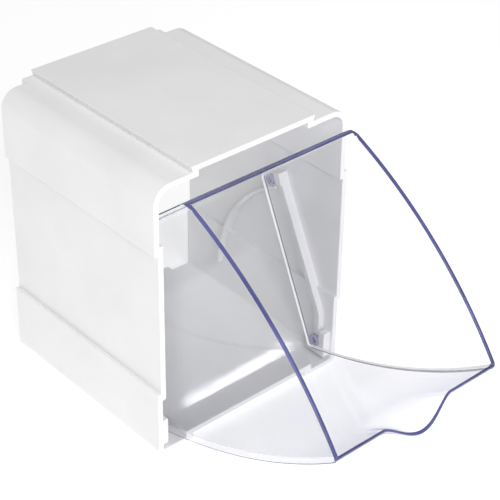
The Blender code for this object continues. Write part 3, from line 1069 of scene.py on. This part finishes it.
def mark_bin(shell, plan):
    """Marks the sharp edges of the rim, and of the folds outside and inside."""
    work = bmesh.new()
    work.from_mesh(shell.data)
    kinds = ("rim", "outer_fold", "inner_fold")
    layers = {kind: work.edges.layers.float.new(kind) for kind in kinds}
    for edge in work.edges:
        if edge.calc_face_angle(0) < SHARP:
            continue
        if any(face.material_index == RIM_SLOT for face in edge.link_faces) or plan.on_back(edge):
            kind = "rim"
        else:
            across = abs(middle(*(vert.co.x for vert in edge.verts)) - plan.middle)
            kind = "outer_fold" if across > plan.half - plan.s.wall / 2 else "inner_fold"
        edge[layers[kind]] = 1.0
    work.to_mesh(shell.data)
    work.free()


def fillet_marked(piece, layer, width, material):
    bevel = add_bevel(piece, layer, width, "WEIGHT")
    bevel.edge_weight = layer
    bevel.material = material


class TILTBIN_OT_bin(bpy.types.Operator):
    """Build the clear bin with its bowed walls, finger lip, and a rim and folds painted with light and shade
    """

    bl_idname = "tiltbin.bin"
    bl_label = "Clear Bin"

    def execute(self, context):
        settings = context.scene.tilt_bin
        plan = BinPlan(settings)
        shell = build_bin(plan)
        mark_bin(shell, plan)
        # the rim wears painted light: a darker and a lighter copy of the rim's painted glow colour
        deep, light = ([channel * share for channel in settings.painted_rim_glow] for share in (0.8, 1.5))
        for material in (
            clear_wall(settings.tint, settings.slant_tint),
            painted_edge_light("clear_rim", deep, light, alpha=1.0),
            painted_edge_light("clear_outer_fold", **OUTER_FOLD_SHADE),
            painted_edge_light("clear_inner_fold", **INNER_FOLD_HIGHLIGHT),
        ):
            shell.data.materials.append(material)
        # the fold fillets wear the painted shade and the painted highlight, the rim's fillet the painted glow
        fillet_marked(shell, "outer_fold", settings.fold_fillet, OUTER_FOLD_SLOT)
        fillet_marked(shell, "inner_fold", settings.fold_fillet, INNER_FOLD_SLOT)
        fillet_marked(shell, "rim", settings.rim_fillet, RIM_SLOT)
        baked(shell)
        weigh(shell)
        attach(shell, "bin_body")
        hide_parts("clear_bin")
        return {"FINISHED"}


# ---- pegs ----

# Painted light: the pegs' violet is the clear plastic's own tint, and their lightness and brighter streaks
# are painted glow and painted sparkle
PEG_PAINTED_GLOW = {"deep": (0.36, 0.36, 0.60), "light": (0.66, 0.66, 0.84), "alpha": 0.72}


class TILTBIN_OT_pegs(bpy.types.Operator):
    """Build the hollow pivot pegs and guide pegs on the bin's sides"""

    bl_idname = "tiltbin.pegs"
    bl_label = "Pegs"

    def execute(self, context):
        settings = context.scene.tilt_pegs
        tree = peg_tree()
        material = painted_edge_light("clear_peg", **PEG_PAINTED_GLOW)
        for kind in ("pivot", "guide"):
            boxes = [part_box(f"{side}_{kind}_peg") for side, _ in SIDES]
            low, high = boxes[0]
            pegs = grown(
                f"{kind}_pegs",
                [tuple(middle(*box)) for box in boxes],
                tree,
                material,
                joined=False,
                Radius=(high.y - low.y) / 2,
                Bore=settings.bore,
                Length=high.x - low.x,
                Fillet=settings.fillet,
                Sides=settings.sides,
            )
            weigh(pegs)
            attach(pegs, "bin_body")
            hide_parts(*(f"{side}_{kind}_peg" for side, _ in SIDES))
        return {"FINISHED"}


# ---- studio ----

MIDDLE = (0.0, 0.0, 0.09)
NEAR_BASE = (0.0, 0.0, 0.02)
SOFTBOXES = (  # name, place, aim, size, setting of its power
    ("front_softbox", (-0.5, -1.25, 1.0), MIDDLE, (1.2, 0.8), "key"),
    ("overhead_softbox", (-0.2, 0.1, 1.5), MIDDLE, (1.1, 1.1), "overhead"),
    ("strip_light", (0.63, -1.02, 0.06), NEAR_BASE, (0.16, 0.024), "strip"),
    ("low_softbox", (0.66, -1.08, 0.12), NEAR_BASE, (0.42, 0.2), "low"),
)


def softbox(name, place, aim, size, power):
    data = bpy.data.lights.new(name, "AREA")
    data.shape = "RECTANGLE"
    data.size, data.size_y = size
    data.energy = power
    light = bpy.data.objects.new(name, data)
    light.location = place
    light.rotation_euler = (Vector(aim) - Vector(place)).to_track_quat("-Z", "Y").to_euler()
    bpy.context.scene.collection.objects.link(light)


class TILTBIN_OT_stage(bpy.types.Operator):
    """Build the plain floor, the soft studio light and the camera"""

    bl_idname = "tiltbin.stage"
    bl_label = "Stage"

    def execute(self, context):
        settings = context.scene.tilt_stage
        self.make_floor(settings)
        self.make_lights(context, settings)
        self.make_camera(context, settings)
        return {"FINISHED"}

    @staticmethod
    def make_floor(settings):
        work = bmesh.new()
        bmesh.ops.create_grid(work, x_segments=2, y_segments=2, size=12.0)
        floor = object_from(work, "studio_floor")
        material, tree, shader = new_material("studio_floor")
        shade = mottled(tree, noise(tree, 3.0), settings.floor_shade, 0.995, 1.005)
        glow = {"Emission_Color": shade, "Emission_Strength": settings.glow}
        feed(tree, shader, Base_Color=shade, Roughness=0.9, **glow)
        floor.data.materials.append(material)

    @staticmethod
    def make_lights(context, settings):
        world = bpy.data.worlds.new("light_tent")
        world.use_nodes = True
        background = world.node_tree.nodes["Background"]
        feed(world.node_tree, background, Color=(1.0, 1.0, 1.0, 1.0), Strength=settings.tent)
        context.scene.world = world
        for name, place, aim, size, power in SOFTBOXES:
            softbox(name, place, aim, size, getattr(settings, power))

    @staticmethod
    def make_camera(context, settings):
        data = bpy.data.cameras.new("camera")
        data.sensor_width = 36.0
        data.lens = settings.lens
        data.clip_start = 0.01
        camera = bpy.data.objects.new("camera", data)
        place = Vector(settings.camera)
        aim = (Vector(settings.target) - place).to_track_quat("-Z", "Y")
        camera.location = place
        camera.rotation_euler = (aim @ Quaternion((0.0, 0.0, 1.0), settings.roll)).to_euler()
        context.scene.collection.objects.link(camera)
        context.scene.camera = camera
        context.scene.view_settings.view_transform = "Standard"


# ---- panel and registration ----

OPERATORS = (TILTBIN_OT_stage, TILTBIN_OT_housing, TILTBIN_OT_guides, TILTBIN_OT_bin, TILTBIN_OT_pegs)


class TILTBIN_PT_panel(bpy.types.Panel):
    """Lists the pieces and their settings"""

    bl_idname = "TILTBIN_PT_panel"
    bl_label = "Tilt Bin"
    bl_space_type = "VIEW_3D"
    bl_region_type = "UI"
    bl_category = "Tilt Bin"

    def draw(self, context):
        for operator in OPERATORS:
            self.layout.operator(operator.bl_idname)
        for name, group in SETTINGS.items():
            box = self.layout.box()
            for size in group.__annotations__:
                box.prop(getattr(context.scene, name), size)


CLASSES = (*SETTINGS.values(), *OPERATORS, TILTBIN_PT_panel)


def register():
    for made in CLASSES:
        bpy.utils.register_class(made)
    for name, group in SETTINGS.items():
        setattr(bpy.types.Scene, name, PointerProperty(type=group))


def unregister():
    for name in SETTINGS:
        delattr(bpy.types.Scene, name)
    for made in reversed(CLASSES):
        bpy.utils.unregister_class(made)


def plain(box):
    return [list(map(float, corner)) for corner in box]


def main():
    register()
    bpy.ops.tiltbin.stage()
    bpy.ops.tiltbin.housing()
    bpy.ops.tiltbin.guides()
    bpy.ops.tiltbin.bin()
    bpy.ops.tiltbin.pegs()


if __name__ == "__main__":
    main()
